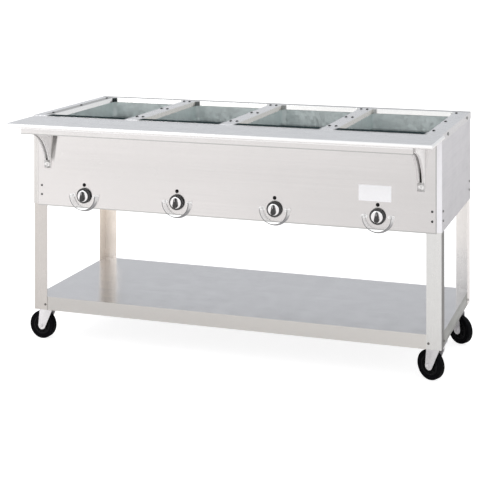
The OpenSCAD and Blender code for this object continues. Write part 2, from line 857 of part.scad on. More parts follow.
// Moulded core: a rim and a boss joined by a thinner web.
module hub(c) {
    boss = arm_gap / 2 - 1;
    rim = wheel_w / 2 - 1.5;
    color(black) at_trail(c) translate([lead, 0, wheel_r]) rotate([90, 0, 0]) rotate_extrude() polygon([
        [axle_r + running_gap, -boss], [11, -boss], [13, -6], [25, -5], [28, -rim], [hub_r, -rim],
        [hub_r, rim], [28, rim], [25, 5], [13, 6], [11, boss], [axle_r + running_gap, boss]]);
}

// Rubber tread with round shoulders.
module tyre(c) {
    half = wheel_w / 2;
    shoulder = 5;
    steps = 6;
    side = [for (k = [0:steps]) let (a = k * 90 / steps)
        [wheel_r - shoulder + shoulder * cos(a), half - shoulder + shoulder * sin(a)]];
    profile = concat([[hub_r, -half]],
        [for (k = [steps:-1:0]) [side[k][0], -side[k][1]]], side, [[hub_r, half]]);
    color([0.08, 0.08, 0.08]) at_trail(c) translate([lead, 0, wheel_r]) rotate([90, 0, 0])
        rotate_extrude() polygon(profile);
}

// ---- Assembly ------------------------------------------------------------------------------

top_deck();
well_liner(1);  // well_liner_1
well_liner(2);  // well_liner_2
well_liner(3);  // well_liner_3
well_liner(4);  // well_liner_4
heating_elements();
insulation_boards();
deck_screws();
front_panel();
left_side_panel();
right_side_panel();
rear_panel();
bottom_pan();
front_left_leg();
front_right_leg();
rear_left_leg();
rear_right_leg();
undershelf();
leg_screws();
caster_channels();
front_shelf();
left_shelf_bracket();
right_shelf_bracket();
panel_screws();
knob_guards();
infinite_switches();
pilot_lights();
rating_label();
terminal_box();
wiring_loom();
caster_plates();
caster_bolts();
control_knob(1);  // control_knob_1
control_knob(2);  // control_knob_2
control_knob(3);  // control_knob_3
control_knob(4);  // control_knob_4
knob_face(1);  // knob_face_1
knob_face(2);  // knob_face_2
knob_face(3);  // knob_face_3
knob_face(4);  // knob_face_4
switch_shaft(1);  // switch_shaft_1
switch_shaft(2);  // switch_shaft_2
switch_shaft(3);  // switch_shaft_3
switch_shaft(4);  // switch_shaft_4
fork(casters[0]);  // front_left_fork
fork(casters[1]);  // front_right_fork
fork(casters[2]);  // rear_left_fork
fork(casters[3]);  // rear_right_fork
axle(casters[0]);  // front_left_axle
axle(casters[1]);  // front_right_axle
axle(casters[2]);  // rear_left_axle
axle(casters[3]);  // rear_right_axle
hub(casters[0]);  // front_left_hub
hub(casters[1]);  // front_right_hub
hub(casters[2]);  // rear_left_hub
hub(casters[3]);  // rear_right_hub
tyre(casters[0]);  // front_left_tyre
tyre(casters[1]);  // front_right_tyre
tyre(casters[2]);  // rear_left_tyre
tyre(casters[3]);  // rear_right_tyre
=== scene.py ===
"""Looks for an electric steam table: materials, detailed pieces, stage, light and camera."""

import json
import math

import bmesh
import bpy
from mathutils import Matrix, Vector


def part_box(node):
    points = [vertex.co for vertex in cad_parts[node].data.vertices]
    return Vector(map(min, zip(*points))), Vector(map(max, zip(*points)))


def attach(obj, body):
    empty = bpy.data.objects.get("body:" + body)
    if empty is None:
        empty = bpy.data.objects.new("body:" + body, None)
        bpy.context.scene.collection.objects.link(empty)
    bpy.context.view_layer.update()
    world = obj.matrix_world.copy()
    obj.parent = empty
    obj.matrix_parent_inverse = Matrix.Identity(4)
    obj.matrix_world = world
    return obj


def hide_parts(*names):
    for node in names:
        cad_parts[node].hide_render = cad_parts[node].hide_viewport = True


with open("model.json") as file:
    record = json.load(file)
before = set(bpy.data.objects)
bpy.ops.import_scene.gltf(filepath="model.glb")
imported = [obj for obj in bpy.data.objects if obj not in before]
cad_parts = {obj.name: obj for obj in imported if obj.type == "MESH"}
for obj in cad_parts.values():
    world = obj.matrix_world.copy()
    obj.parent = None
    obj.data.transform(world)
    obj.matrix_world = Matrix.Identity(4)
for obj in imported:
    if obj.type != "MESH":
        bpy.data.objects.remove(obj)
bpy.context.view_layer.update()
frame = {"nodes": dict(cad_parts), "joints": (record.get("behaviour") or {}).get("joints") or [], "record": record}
NODES = frame["nodes"]
JOINTS = {joint["name"]: joint for joint in frame["joints"]}
MM = 0.001
WELLS = (1, 2, 3, 4)
CASTERS = ("front_left", "front_right", "rear_left", "rear_right")

# ---- Shader helpers ------------------------------------------------------------------------

# Sockets of a Mix node that blends colours.
MIX_A, MIX_B, MIX_RESULT = 6, 7, 2
# Part of a line's half width that has its full strength.
LINE_CORE = 0.6
# Range of the Facing value over which a surface counts as seen at a low angle.
LOW_VIEW = (0.5, 0.75)
WHITE = (1, 1, 1)


class Shader:
    """A node material with a Principled BSDF, and short calls that add the usual nodes.

    A painted-light function may set flare, a normal to use in place of the surface's own, and dull, a mask
    of patches that reflect nothing, laid under painted shade lines so that they stay dark.
    """

    def __init__(self, name):
        self.material = bpy.data.materials.new(name)
        self.material.use_nodes = True
        self.tree = self.material.node_tree
        self.bsdf = self.tree.nodes["Principled BSDF"]
        self.coords = self.tree.nodes.new("ShaderNodeTexCoord").outputs["Object"]
        self.geometry = self.tree.nodes.new("ShaderNodeNewGeometry")
        self.flare = None
        self.dull = None

    def link(self, source, target):
        self.tree.links.new(source, target)

    def set(self, **values):
        for name, value in values.items():
            self.bsdf.inputs[name.replace("_", " ")].default_value = value

    def noise(self, scale, detail=3.0, roughness=0.55):
        """Noise whose scale per metre, one number or one for each axis, sets its grain."""
        if isinstance(scale, (int, float)):
            scale = (scale, scale, scale)
        mapping = self.tree.nodes.new("ShaderNodeMapping")
        mapping.inputs["Scale"].default_value = scale
        self.link(self.coords, mapping.inputs["Vector"])
        node = self.tree.nodes.new("ShaderNodeTexNoise")
        node.inputs["Scale"].default_value = 1
        node.inputs["Detail"].default_value = detail
        node.inputs["Roughness"].default_value = roughness
        self.link(mapping.outputs["Vector"], node.inputs["Vector"])
        return node.outputs["Fac"]

    def voronoi(self, scale):
        """Random value per cell."""
        node = self.tree.nodes.new("ShaderNodeTexVoronoi")
        node.inputs["Scale"].default_value = scale
        self.link(self.coords, node.inputs["Vector"])
        value = self.tree.nodes.new("ShaderNodeSeparateColor")
        self.link(node.outputs["Color"], value.inputs["Color"])
        return value.outputs["Red"]

    def ramp(self, source, low, high, start=0.3, end=0.7):
        """Maps a value from start..end to low..high."""
        node = self.tree.nodes.new("ShaderNodeMapRange")
        node.inputs["From Min"].default_value = start
        node.inputs["From Max"].default_value = end
        node.inputs["To Min"].default_value = low
        node.inputs["To Max"].default_value = high
        self.link(source, node.inputs["Value"])
        return node.outputs["Result"]

    def math(self, operation, a, b=0):
        """Maths on sockets or numbers; an operation on one value takes only the first."""
        node = self.tree.nodes.new("ShaderNodeMath")
        node.operation = operation
        for socket, value in zip(node.inputs, (a, b)):
            if isinstance(value, (int, float)):
                socket.default_value = value
            else:
                self.link(value, socket)
        return node.outputs["Value"]

    def mix(self, factor, a, b):
        """Blends two colours; a colour may be a tuple or a socket."""
        node = self.tree.nodes.new("ShaderNodeMix")
        node.data_type = "RGBA"
        self.link(factor, node.inputs["Factor"])
        for socket, value in ((node.inputs[MIX_A], a), (node.inputs[MIX_B], b)):
            if isinstance(value, tuple):
                socket.default_value = (*value, 1)
            else:
                self.link(value, socket)
        return node.outputs[MIX_RESULT]

    def bump(self, height, strength, distance):
        """Fine relief in the surface's normal, up to a distance in metres."""
        node = self.tree.nodes.new("ShaderNodeBump")
        if self.flare:
            self.link(self.flare, node.inputs["Normal"])
        node.inputs["Strength"].default_value = strength
        node.inputs["Distance"].default_value = distance
        self.link(height, node.inputs["Height"])
        self.link(node.outputs["Normal"], self.bsdf.inputs["Normal"])

    def vector(self, operation, a, b=(0, 0, 0)):
        """Vector maths on sockets or tuples; an operation on one value takes only the first."""
        node = self.tree.nodes.new("ShaderNodeVectorMath")
        node.operation = operation
        for socket, value in zip(node.inputs, (a, b)):
            if isinstance(value, tuple):
                socket.default_value = value
            else:
                self.link(value, socket)
        return node.outputs["Vector"]

    def split(self, vector):
        """A vector's three values, by axis."""
        node = self.tree.nodes.new("ShaderNodeSeparateXYZ")
        self.link(vector, node.inputs["Vector"])
        return {axis: node.outputs[axis] for axis in "XYZ"}

    def place(self):
        """The point's place in the room, by axis."""
        return self.split(self.geometry.outputs["Position"])

    def facing(self):
        """The surface's true direction, by axis."""
        return self.split(self.geometry.outputs["True Normal"])

    def low_view(self):
        """Mask of surfaces seen at a low angle."""
        grazing = self.tree.nodes.new("ShaderNodeLayerWeight")
        return self.ramp(grazing.outputs["Facing"], 0, 1, *LOW_VIEW)

    def every(self, *masks):
        """Masks multiplied together."""
        out = masks[0]
        for mask in masks[1:]:
            out = self.math("MULTIPLY", out, mask)
        return out

    def above(self, value, level, soft=0.001):
        """Mask that rises from 0 to 1 where the value passes the level."""
        return self.ramp(value, 0, 1, level - soft, level + soft)

    def below(self, value, level, soft=0.001):
        """Mask that falls from 1 to 0 where the value passes the level."""
        return self.ramp(value, 1, 0, level - soft, level + soft)

    def line(self, value, level, half):
        """Mask of a thin line about the level."""
        away = self.math("ABSOLUTE", self.math("SUBTRACT", value, level))
        return self.ramp(away, 1, 0, half * LINE_CORE, half)

    def tint(self, mask, tone, colour, amount=1.0):
        """Moves the tone towards a colour where the mask is set."""
        if amount < 1:
            mask = self.math("MULTIPLY", mask, amount)
        return self.mix(mask, tone, colour)

    def scaled(self, value, tone, low, high, start, end):
        """The tone times a factor that goes from low to high as the value goes from start to end."""
        return self.vector("MULTIPLY", tone, self.mix(self.ramp(value, 0, 1, start, end), low, high))


def shade(colour, factor):
    """A colour made lighter or darker."""
    return tuple(min(1.0, channel * factor) for channel in colour)


# Detail of brushed sheet, per metre across the grain and along it.
GRAIN_FINE, GRAIN_LONG = 1500, 9
STREAK_FINE, STREAK_LONG = 110, 1.3
# Size of the wiped patches and smears on sheet, per metre.
PATCH_SCALE, WIPE_SCALE = 2.3, 17
PATCH_SHADE = 0.97


def brushed(name, colour, roughness, grain, streak=0.05, aniso=0.85, fade=None, extra=None, metallic=1.0):
    """Brushed stainless sheet with its grain along one axis, faint streaks and wiped patches.

    fade is painted light: it tints it from one end of an axis to the other: (axis, from, to, colour factor at each
    end).
    extra changes the tone further with painted light and shade: it takes the shader and the tone, and returns the
    new tone.
    """
    s = Shader(name)
    fine_scale = tuple(GRAIN_LONG if g else GRAIN_FINE for g in grain)
    streak_scale = tuple(STREAK_LONG if g else STREAK_FINE for g in grain)
    fine = s.noise(fine_scale, detail=2)
    streaks = s.noise(streak_scale, detail=4)
    patches = s.noise(PATCH_SCALE, detail=4)
    wipes = s.noise(WIPE_SCALE, detail=5, roughness=0.65)
    tone = s.mix(s.ramp(streaks, 0, 1), shade(colour, 1 - streak), shade(colour, 1 + streak))
    tone = s.mix(s.ramp(patches, 0, 1), tone, shade(colour, PATCH_SHADE))
    # Painted light, lighter at one end of the axis than at the other.
    if fade:
        axis, start, end, low, high = fade
        tone = s.scaled(s.place()[axis], tone, low, high, start, end)
    if extra:
        tone = extra(s, tone)
    s.link(tone, s.bsdf.inputs["Base Color"])
    grainy = s.math("ADD", s.ramp(fine, -0.05, 0.05), s.ramp(wipes, -0.04, 0.05))
    s.link(s.math("ADD", grainy, roughness), s.bsdf.inputs["Roughness"])
    s.set(Metallic=metallic, Anisotropic=aniso)
    # Under painted shade lines the sheet reflects nothing, so that they stay dark.
    if s.dull:
        reflecting = s.math("SUBTRACT", 1, s.dull)
        s.link(s.math("MULTIPLY", reflecting, metallic), s.bsdf.inputs["Metallic"])
        s.link(s.math("MULTIPLY", reflecting, 0.5), s.bsdf.inputs["Specular IOR Level"])
    s.link(s.vector("CROSS_PRODUCT", s.geometry.outputs["Normal"], grain), s.bsdf.inputs["Tangent"])
    s.bump(s.math("ADD", fine, s.math("MULTIPLY", streaks, 0.6)), 0.10, 0.0002)
    return s.material


SPANGLE_SCALE = 75
# Colour factor of the painted shade at the bottom of the depth range.
DEEP_SHADE = (0.35, 0.36, 0.37)


def galvanised(name, colour, roughness=0.45, depth=None):
    """Zinc-coated sheet with spangle. depth is a height range over which painted shade darkens it downwards."""
    s = Shader(name)
    spangle = s.voronoi(SPANGLE_SCALE)
    haze = s.noise(5)
    tone = s.mix(spangle, shade(colour, 0.95), shade(colour, 1.05))
    tone = s.mix(s.ramp(haze, 0, 0.6), tone, shade(colour, 0.93))
    # Painted shade, darker downwards.
    if depth:
        tone = s.scaled(s.place()["Z"], tone, DEEP_SHADE, WHITE, *depth)
    s.link(tone, s.bsdf.inputs["Base Color"])
    s.link(s.ramp(spangle, roughness - 0.08, roughness + 0.1, 0, 1), s.bsdf.inputs["Roughness"])
    s.set(Metallic=0.85)
    s.bump(s.noise(260), 0.12, 0.0003)
    return s.material


def plated(name, colour, roughness=0.3, extra=None, metallic=1.0):
    """Zinc-plated or cast metal with a fine mottle and dull patches. extra changes the tone further."""
    s = Shader(name)
    mottle = s.noise(140, detail=5, roughness=0.6)
    dull = s.noise(28, detail=4)
    tone = s.mix(s.ramp(mottle, 0, 1), shade(colour, 0.92), shade(colour, 1.05))
    if extra:
        tone = extra(s, tone)
    s.link(tone, s.bsdf.inputs["Base Color"])
    s.link(s.ramp(dull, roughness - 0.06, roughness + 0.12), s.bsdf.inputs["Roughness"])
    s.set(Metallic=metallic)
    s.bump(mottle, 0.15, 0.0003)
    return s.material


PEBBLE_SCALE = 900


def moulded(name, colour, roughness, specular=0.5):
    """Moulded plastic with a fine pebble and slight rub marks."""
    s = Shader(name)
    pebble = s.noise(PEBBLE_SCALE, detail=2)
    rubs = s.noise(45, detail=5, roughness=0.7)
    s.link(s.mix(s.ramp(rubs, 0, 1, 0.45, 0.8), colour, shade(colour, 1.6)), s.bsdf.inputs["Base Color"])
    s.link(s.ramp(rubs, roughness - 0.05, roughness + 0.12), s.bsdf.inputs["Roughness"])
    s.set(Specular_IOR_Level=specular)
    s.bump(pebble, 0.10, 0.0001)
    return s.material


def rubber(name, colour, dusty):
    """Hard black rubber with a bloom of a second colour."""
    s = Shader(name)
    dust = s.noise(55, detail=6, roughness=0.7)
    pores = s.noise(1100, detail=2)
    s.link(s.mix(s.ramp(dust, 0, 0.35, 0.5, 0.85), colour, dusty), s.bsdf.inputs["Base Color"])
    s.link(s.ramp(dust, 0.42, 0.62), s.bsdf.inputs["Roughness"])
    s.set(Specular_IOR_Level=0.05)
    s.bump(pores, 0.18, 0.0002)
    return s.material


RING_SCALE = 2600


def spun_chrome(name, colour):
    """Bright metal turned on a lathe: fine rings about the piece's own Y axis."""
    s = Shader(name)
    radius = s.tree.nodes.new("ShaderNodeVectorMath")
    radius.operation = "LENGTH"
    s.link(s.vector("MULTIPLY", s.coords, (1, 0, 1)), radius.inputs[0])
    rings = s.tree.nodes.new("ShaderNodeTexNoise")
    rings.noise_dimensions = "1D"
    rings.inputs["Detail"].default_value = 3
    s.link(s.math("MULTIPLY", radius.outputs["Value"], RING_SCALE), rings.inputs["W"])
    ring = rings.outputs["Fac"]
    s.link(s.mix(s.ramp(ring, 0, 1), shade(colour, 0.93), colour), s.bsdf.inputs["Base Color"])
    s.link(s.ramp(ring, 0.10, 0.20), s.bsdf.inputs["Roughness"])
    s.set(Metallic=1.0)
    s.bump(ring, 0.06, 0.0001)
    return s.material


STRAND_STRETCH = 0.12


def fibre(name, colour, scale, roughness=0.9):
    """Matted or braided fibre, with strands that run along Y."""
    s = Shader(name)
    strands = s.noise((scale, scale * STRAND_STRETCH, scale), detail=6, roughness=0.7)
    tone = s.mix(s.ramp(strands, 0, 1), shade(colour, 0.7), shade(colour, 1.15))
    s.link(tone, s.bsdf.inputs["Base Color"])
    s.set(Roughness=roughness)
    s.bump(strands, 0.5, 0.001)
    return s.material


def film(name, colour):
    """Blank label film."""
    s = Shader(name)
    ripple = s.noise(60)
    s.link(s.mix(s.ramp(ripple, 0, 1), shade(colour, 0.97), colour), s.bsdf.inputs["Base Color"])
    s.set(Roughness=0.35)
    s.bump(ripple, 0.05, 0.0002)
    return s.material


ALONG_X, ALONG_Y, ALONG_Z = (1, 0, 0), (0, 1, 0), (0, 0, 1)
# Colour of the painted shade lines at folds and hems, and how strongly they are laid on the panel.
DARK_LINE = (0.42, 0.43, 0.42)
LINE_STRENGTH = 0.75
# Share of a face's normal along an axis at which it counts as turned that way, and the mask's softness.
TURNED, TURNED_SOFT = 0.7, 0.1
# Half of a well's opening in the deck.
OPENING_X, OPENING_Y = 0.1557, 0.2552
# Height of the shelf's rolled edge.
ROLL_HEIGHT = 0.0165
# Width of the painted shade lines at the folded edges of the front panel, and their softness.
FOLD, FOLD_SOFT = 0.0035, 0.0008


def turned(s, axis):
    """Mask of the faces turned towards plus X, Y or Z."""
    return s.above(s.facing()[axis], TURNED, TURNED_SOFT)


def collar_painted_light(s, tone, inside, first):
    """The collars round the wells: a painted highlight, a beige painted reflection where they face +X, and painted
    shade in their rear left corners.
    """
    place, normal = s.place(), s.facing()
    # Painted highlight on the collars.
    tone = s.tint(inside, tone, (0.98, 0.975, 0.96))
    # Painted reflection, beige, on the collar walls that face +X.
    left = s.every(inside, s.above(normal["X"], 0.8, 0.1), s.above(place["X"], first - OPENING_X + 0.02))
    tone = s.tint(left, tone, (0.66, 0.65, 0.61))
    # Painted shade in the rear left corners, strongest towards the left end of the table.
    from_left = s.ramp(place["X"], 1, 0.25, -0.6, 0.5)
    corner = s.every(inside, s.above(normal["X"], 0.12, 0.1), s.below(normal["Y"], -0.12, 0.1), from_left)
    tone = s.tint(corner, tone, (0.045, 0.055, 0.055))
    # The collars flare a little, so that they pick up the light from above.
    steepest = s.math("MAXIMUM", s.math("ABSOLUTE", normal["X"]), s.math("ABSOLUTE", normal["Y"]))
    lift = s.tree.nodes.new("ShaderNodeCombineXYZ")
    s.link(s.math("MULTIPLY", s.every(inside, s.above(steepest, 0.985, 0.01)), 0.75), lift.inputs["Z"])
    lifted = s.vector("ADD", s.geometry.outputs["Normal"], lift.outputs["Vector"])
    s.flare = s.vector("NORMALIZE", lifted)
    return tone


def deck_painted_light(s, tone):
    """The deck: painted shade lines at the rims of the wells, seen at a low angle, and the painted light of their
    collars.
    """
    place = s.place()
    deck_low, deck_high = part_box("top_deck")
    low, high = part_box("well_liner_1")
    pitch = (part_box("well_liner_2")[0] - low).x
    first = (low.x + high.x) / 2
    middle_y = (low.y + high.y) / 2
    # Distance from the middle of the nearest well, across the table and along Y.
    held = s.math("MINIMUM", s.math("MAXIMUM", place["X"], first - pitch * 0.499), -first + pitch * 0.499)
    cell = s.math("PINGPONG", s.math("SUBTRACT", held, first + pitch / 2), pitch / 2)
    across = s.math("SUBTRACT", pitch / 2, cell)
    along = s.math("ABSOLUTE", s.math("SUBTRACT", place["Y"], middle_y))

    low_view = s.low_view()
    top = s.above(place["Z"], deck_high.z - 0.0006, 0.0002)
    edge_or_low = s.math("MAXIMUM", low_view, s.below(place["Y"], deck_low.y + 0.002, 0.0005))
    # Painted shade in front of each opening: dark where seen at a low angle, and always at the deck's front edge;
    # it reflects nothing.
    front = s.every(s.above(place["Z"], deck_high.z - 0.002, 0.0003), edge_or_low,
        s.below(place["Y"], middle_y - OPENING_Y + 0.002), s.below(across, OPENING_X - 0.002, 0.006))
    tone = s.tint(front, tone, (0.03, 0.042, 0.045))
    s.dull = front
    # Painted shade behind each opening, seen at a low angle.
    rear = s.every(top, low_view, s.above(place["Y"], middle_y + OPENING_Y - 0.004, 0.004))
    tone = s.tint(rear, tone, (0.30, 0.30, 0.29), 0.55)
    # Painted shade beside the left side of the first opening, seen at a low angle.
    beside = s.every(s.line(place["X"], first - OPENING_X - 0.012, 0.016), s.below(along, OPENING_Y, 0.003))
    tone = s.tint(s.every(top, low_view, beside), tone, (0.25, 0.25, 0.24), 0.75)
    inside = s.every(s.below(place["Z"], deck_high.z - 0.0015), s.below(along, OPENING_Y + 0.001),
        s.below(across, OPENING_X + 0.001))
    return collar_painted_light(s, tone, inside, first)


def shelf_painted_light(s, tone):
    """The front shelf: a painted highlight on the rolled edge, a skirt painted paler, and a painted shade line at
    its hem.
    """
    height = s.place()["Z"]
    low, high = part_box("front_shelf")
    flat = s.above(s.facing()["Z"], 0.97, 0.02)
    roll = s.every(s.below(flat, 0.5, 0.5), s.above(height, high.z - ROLL_HEIGHT))
    # Painted highlight on the rolled edge.
    tone = s.tint(roll, tone, WHITE)
    # Painted light: the skirt below the roll gets its own tone.
    tone = s.tint(s.below(height, high.z - ROLL_HEIGHT), tone, (0.75, 0.735, 0.73))
    # Painted shade line at the hem.
    return s.tint(s.below(height, low.z + 0.003, 0.0008), tone, DARK_LINE, 0.8)


def panel_painted_light(s, tone):
    """The front panel: painted light that brightens it towards its top, and painted shade lines along the folds at
    its lower and right-hand edges.
    """
    place = s.place()
    low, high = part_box("front_panel")
    # The slot of the left bracket is mirrored in the panel as a slanting dark streak.
    bracket_low, bracket_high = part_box("left_shelf_bracket")
    foot_z, top_z = bracket_low.z + 0.03, bracket_high.z - 0.01
    lean = s.ramp(place["Z"], bracket_high.x + 0.005, bracket_high.x + 0.025, foot_z, top_z)
    streak = s.every(s.line(s.math("SUBTRACT", place["X"], lean), 0, 0.011),
        s.ramp(place["Z"], 0.45, 0.95, foot_z, top_z),
        s.above(place["Z"], foot_z, 0.01), s.below(place["Z"], top_z + 0.03, 0.02))
    # Painted shade lines along the lower and right-hand folds.
    foot = s.below(place["Z"], low.z + FOLD, FOLD_SOFT)
    edge = s.above(place["X"], high.x - FOLD, 0.0006)
    # Painted light, brighter towards the top.
    tone = s.scaled(place["Z"], tone, WHITE, (1.12, 1.12, 1.12), 0.66, 0.78)
    tone = s.tint(s.math("MAXIMUM", foot, edge), tone, DARK_LINE, LINE_STRENGTH)
    # Painted reflection of the bracket's slot.
    return s.tint(streak, tone, (0.035, 0.035, 0.03))


def side_painted_light(s, tone):
    """The side panels: painted light makes their returns onto the front paler, the right-hand one more so."""
    # Painted light on the returns, paler towards the right.
    returns = s.mix(s.ramp(s.place()["X"], 0, 1, -0.5, 0.5), (0.70, 0.685, 0.67), (0.92, 0.92, 0.955))
    facing_y = s.math("ABSOLUTE", s.facing()["Y"])
    return s.tint(s.above(facing_y, TURNED, TURNED_SOFT), tone, returns)


def undershelf_painted_light(s, tone):
    """The undershelf: painted light on the front skirt, warm and darker to the left, and painted shade on the
    right-hand skirt, which faces away from the light.
    """
    # Painted light on the front skirt: warm, darker towards the left.
    front = s.mix(s.ramp(s.place()["X"], 0, 1, -0.7, 0.7), (0.585, 0.575, 0.56), (0.70, 0.69, 0.67))
    tone = s.tint(s.below(s.facing()["Y"], -TURNED, TURNED_SOFT), tone, front)
    # Painted shade on the right-hand skirt, seen at a low angle.
    return s.tint(s.every(turned(s, "X"), s.low_view()), tone, (0.27, 0.285, 0.265))


def leg_painted_shade(s, tone):
    """The front right leg: painted shade on its side flange, which faces away from the light."""
    side = s.every(turned(s, "X"), s.below(s.place()["Y"], 0), s.low_view())
    # Painted shade on the side flange, seen at a low angle.
    return s.tint(side, tone, (0.22, 0.22, 0.215))


def guard_painted_light(s, tone):
    """The guards: a darker rolled lip, painted shade on the underside, and a painted glow on the inside in place
    of the light from the panel behind it.
    """
    depth, normal = s.place()["Y"], s.facing()
    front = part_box("knob_guards")[0].y
    inside = s.every(s.above(normal["Y"], 0.12, 0.06), s.above(depth, front + 0.0045, 0.0006))
    # Painted glow: the inside gives off light in place of the light from the panel behind it.
    s.set(Emission_Color=(*WHITE, 1))
    s.link(s.math("MULTIPLY", inside, 0.5), s.bsdf.inputs["Emission Strength"])
    # Painted shade on the underside.
    tone = s.tint(s.below(normal["Z"], -0.35, 0.15), tone, (0.42, 0.42, 0.43))
    return s.tint(s.below(depth, front + 0.0036, 0.0006), tone, (0.26, 0.26, 0.265))


# Height of the brackets' foot, and half the width of the slot that is painted in deep shade.
BRACKET_FOOT = 0.029
SLOT_HALF = 0.0046


def bracket_painted_light(s, tone):
    """The brackets: a painted glow makes the front rims and sides pale, and the slot between the side walls is
    painted in deep shade.
    """
    place, normal = s.place(), s.facing()
    low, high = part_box("right_shelf_bracket")
    low_left, high_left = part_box("left_shelf_bracket")
    middle = (low.x + high.x + low_left.x + high_left.x) / 4
    off_middle = s.math("ABSOLUTE", s.math("SUBTRACT", place["X"], middle))
    above_foot = s.above(place["Z"], low.z + BRACKET_FOOT)
    slot = s.every(s.line(off_middle, (low.x + high.x) / 2 - middle, SLOT_HALF), above_foot)
    outside = s.math("SUBTRACT", 1, slot)
    rims = s.every(s.below(normal["Y"], -0.1, 0.1), above_foot, outside)
    sides = s.every(turned(s, "X"), outside)
    # Painted glow that makes the rims and sides pale.
    glow = s.math("ADD", s.math("MULTIPLY", rims, 0.22), s.math("MULTIPLY", sides, 0.12))
    s.set(Emission_Color=(1, 0.94, 0.94, 1))
    s.link(glow, s.bsdf.inputs["Emission Strength"])
    # Painted shade: the slot is made near black.
    return s.tint(slot, tone, (0.018, 0.018, 0.012))


# The screws of the guards and brackets lie within this distance of the middle, the panel's own beyond it.
INNER_SCREWS = 0.6965


def screw_marks(s, tone):
    """Screw heads: pale on guards and brackets, less so at the front left and on the legs' feet, with a painted
    highlight where they face +X, on the sides.
    """
    place = s.place()
    panel_y = JOINTS["knob_1_turn"]["pos_m"][1]
    on_front = s.below(place["Y"], panel_y + 0.001)
    inner = s.below(s.math("ABSOLUTE", place["X"]), INNER_SCREWS, 0.0005)
    # Painted highlight on the heads that face +X.
    tone = s.tint(s.above(s.facing()["X"], 0.6, 0.1), tone, (0.45, 0.46, 0.45))
    tone = s.tint(s.every(inner, on_front, s.below(place["Z"], 0.75)), tone, (0.78, 0.78, 0.78))
    tone = s.tint(s.every(s.below(place["X"], -INNER_SCREWS, 0.0005), on_front), tone, (0.18, 0.18, 0.18))
    return s.tint(s.below(place["Z"], 0.3), tone, (0.16, 0.155, 0.145))


# The cabinet's ends and the height range of its sides, for painted light that changes along them.
ENDS, SIDES = (-0.74, 0.74), (0.52, 0.82)

# Painted light: the stainless parts are one steel, with base colours set part by part to match how each is lit,
# and each fade is painted light too.
MATERIALS = {
    "stainless_deck": brushed("stainless_deck", (0.72, 0.725, 0.74), 0.28, ALONG_X, streak=0.02,
        extra=deck_painted_light),
    "stainless_rolled": brushed("stainless_rolled", (0.72, 0.725, 0.74), 0.28, ALONG_X, streak=0.02,
        extra=shelf_painted_light),
    "stainless_panel": brushed("stainless_panel", (0.74, 0.725, 0.72), 0.20, ALONG_X, streak=0.03,
        fade=("X", *ENDS, (1.08, 1.08, 1.08), (0.94, 0.945, 0.95)), extra=panel_painted_light),
    "stainless_side": brushed("stainless_side", (0.635, 0.635, 0.67), 0.34, ALONG_Y,
        fade=("Z", *SIDES, (0.84, 0.84, 0.84), (0.97, 0.97, 0.97)), extra=side_painted_light),
    "stainless_shelf": brushed("stainless_shelf", (0.64, 0.64, 0.66), 0.20, ALONG_X, streak=0.02,
        extra=undershelf_painted_light),
    "stainless_leg": brushed("stainless_leg", (0.76, 0.75, 0.74), 0.30, ALONG_Z, streak=0.03,
        fade=("X", *ENDS, (0.88, 0.86, 0.84), (1.03, 1.055, 1.06)), extra=leg_painted_shade),
    # The rear legs' lighter tone, warm towards the left end, is a painted reflection.
    "stainless_rear_leg": brushed("stainless_rear_leg", (0.95, 0.94, 0.93), 0.30, ALONG_Z, streak=0.03,
        fade=("X", *ENDS, (1.08, 1.01, 0.94), (1.03, 1.02, 1.01))),
    "stainless_trim": brushed("stainless_trim", (0.93, 0.93, 0.93), 0.5, ALONG_X, streak=0.02, aniso=0.3,
        metallic=0.1, extra=guard_painted_light),
    "bracket_metal": plated("bracket_metal", (0.97, 0.96, 0.95), 0.4, metallic=0.15, extra=bracket_painted_light),
    "galvanised_liner": galvanised("galvanised_liner", (0.81, 0.875, 0.87), depth=(0.743, 0.753)),
    "galvanised_sheet": galvanised("galvanised_sheet", (0.55, 0.58, 0.58)),
    "element_sheath": plated("element_sheath", (0.20, 0.18, 0.17), 0.5),
    "glass_fibre": fibre("glass_fibre", (0.80, 0.72, 0.45), 900),
    "screw_steel": plated("screw_steel", (0.035, 0.035, 0.038), 0.4, extra=screw_marks, metallic=0.8),
    "zinc_plate": plated("zinc_plate", (0.84, 0.83, 0.85), 0.32, metallic=0.5),
    "switch_case": moulded("switch_case", (0.05, 0.05, 0.055), 0.5),
    "knob_black": moulded("knob_black", (0.03, 0.03, 0.031), 0.28, specular=0.5),
    "knob_chrome": spun_chrome("knob_chrome", (0.95, 0.95, 0.96)),
    "pilot_lens": moulded("pilot_lens", (0.004, 0.004, 0.004), 0.15, specular=0.15),
    "blank_label": film("blank_label", (0.97, 0.975, 1.0)),
    "wire_sleeve": fibre("wire_sleeve", (0.42, 0.07, 0.05), 1400, 0.7),
    "hub_black": moulded("hub_black", (0.006, 0.006, 0.007), 0.45, specular=0.12),
    "tyre_black": rubber("tyre_black", (0.002, 0.002, 0.003), (0.006, 0.006, 0.007)),
}

# ---- CAD nodes -----------------------------------------------------------------------------

SLOTS = {s["node"]: s["material_slot"] for s in frame["record"]["subparts"]}
OTHER_LOOKS = {
    "left_side_panel": "stainless_side", "right_side_panel": "stainless_side",
    "front_shelf": "stainless_rolled",
    "rear_left_leg": "stainless_rear_leg", "rear_right_leg": "stainless_rear_leg",
}
# Radius of the rounded edges, in millimetres.
EDGE = {
    "stainless_deck": 0.5, "stainless_panel": 0.5, "stainless_shelf": 0.6, "stainless_leg": 0.6,
    "galvanised_sheet": 0.3, "galvanised_liner": 0.3, "switch_case": 0.8, "zinc_plate": 0.3,
    "glass_fibre": 3.0, "blank_label": 0.1,
}
# Points closer than this, in metres, are one point.
WELD_GAP = 0.000002
# Faces within the first angle are one flat face; edges sharper than the second are rounded.
FLAT_ANGLE, EDGE_ANGLE = 0.5, 40


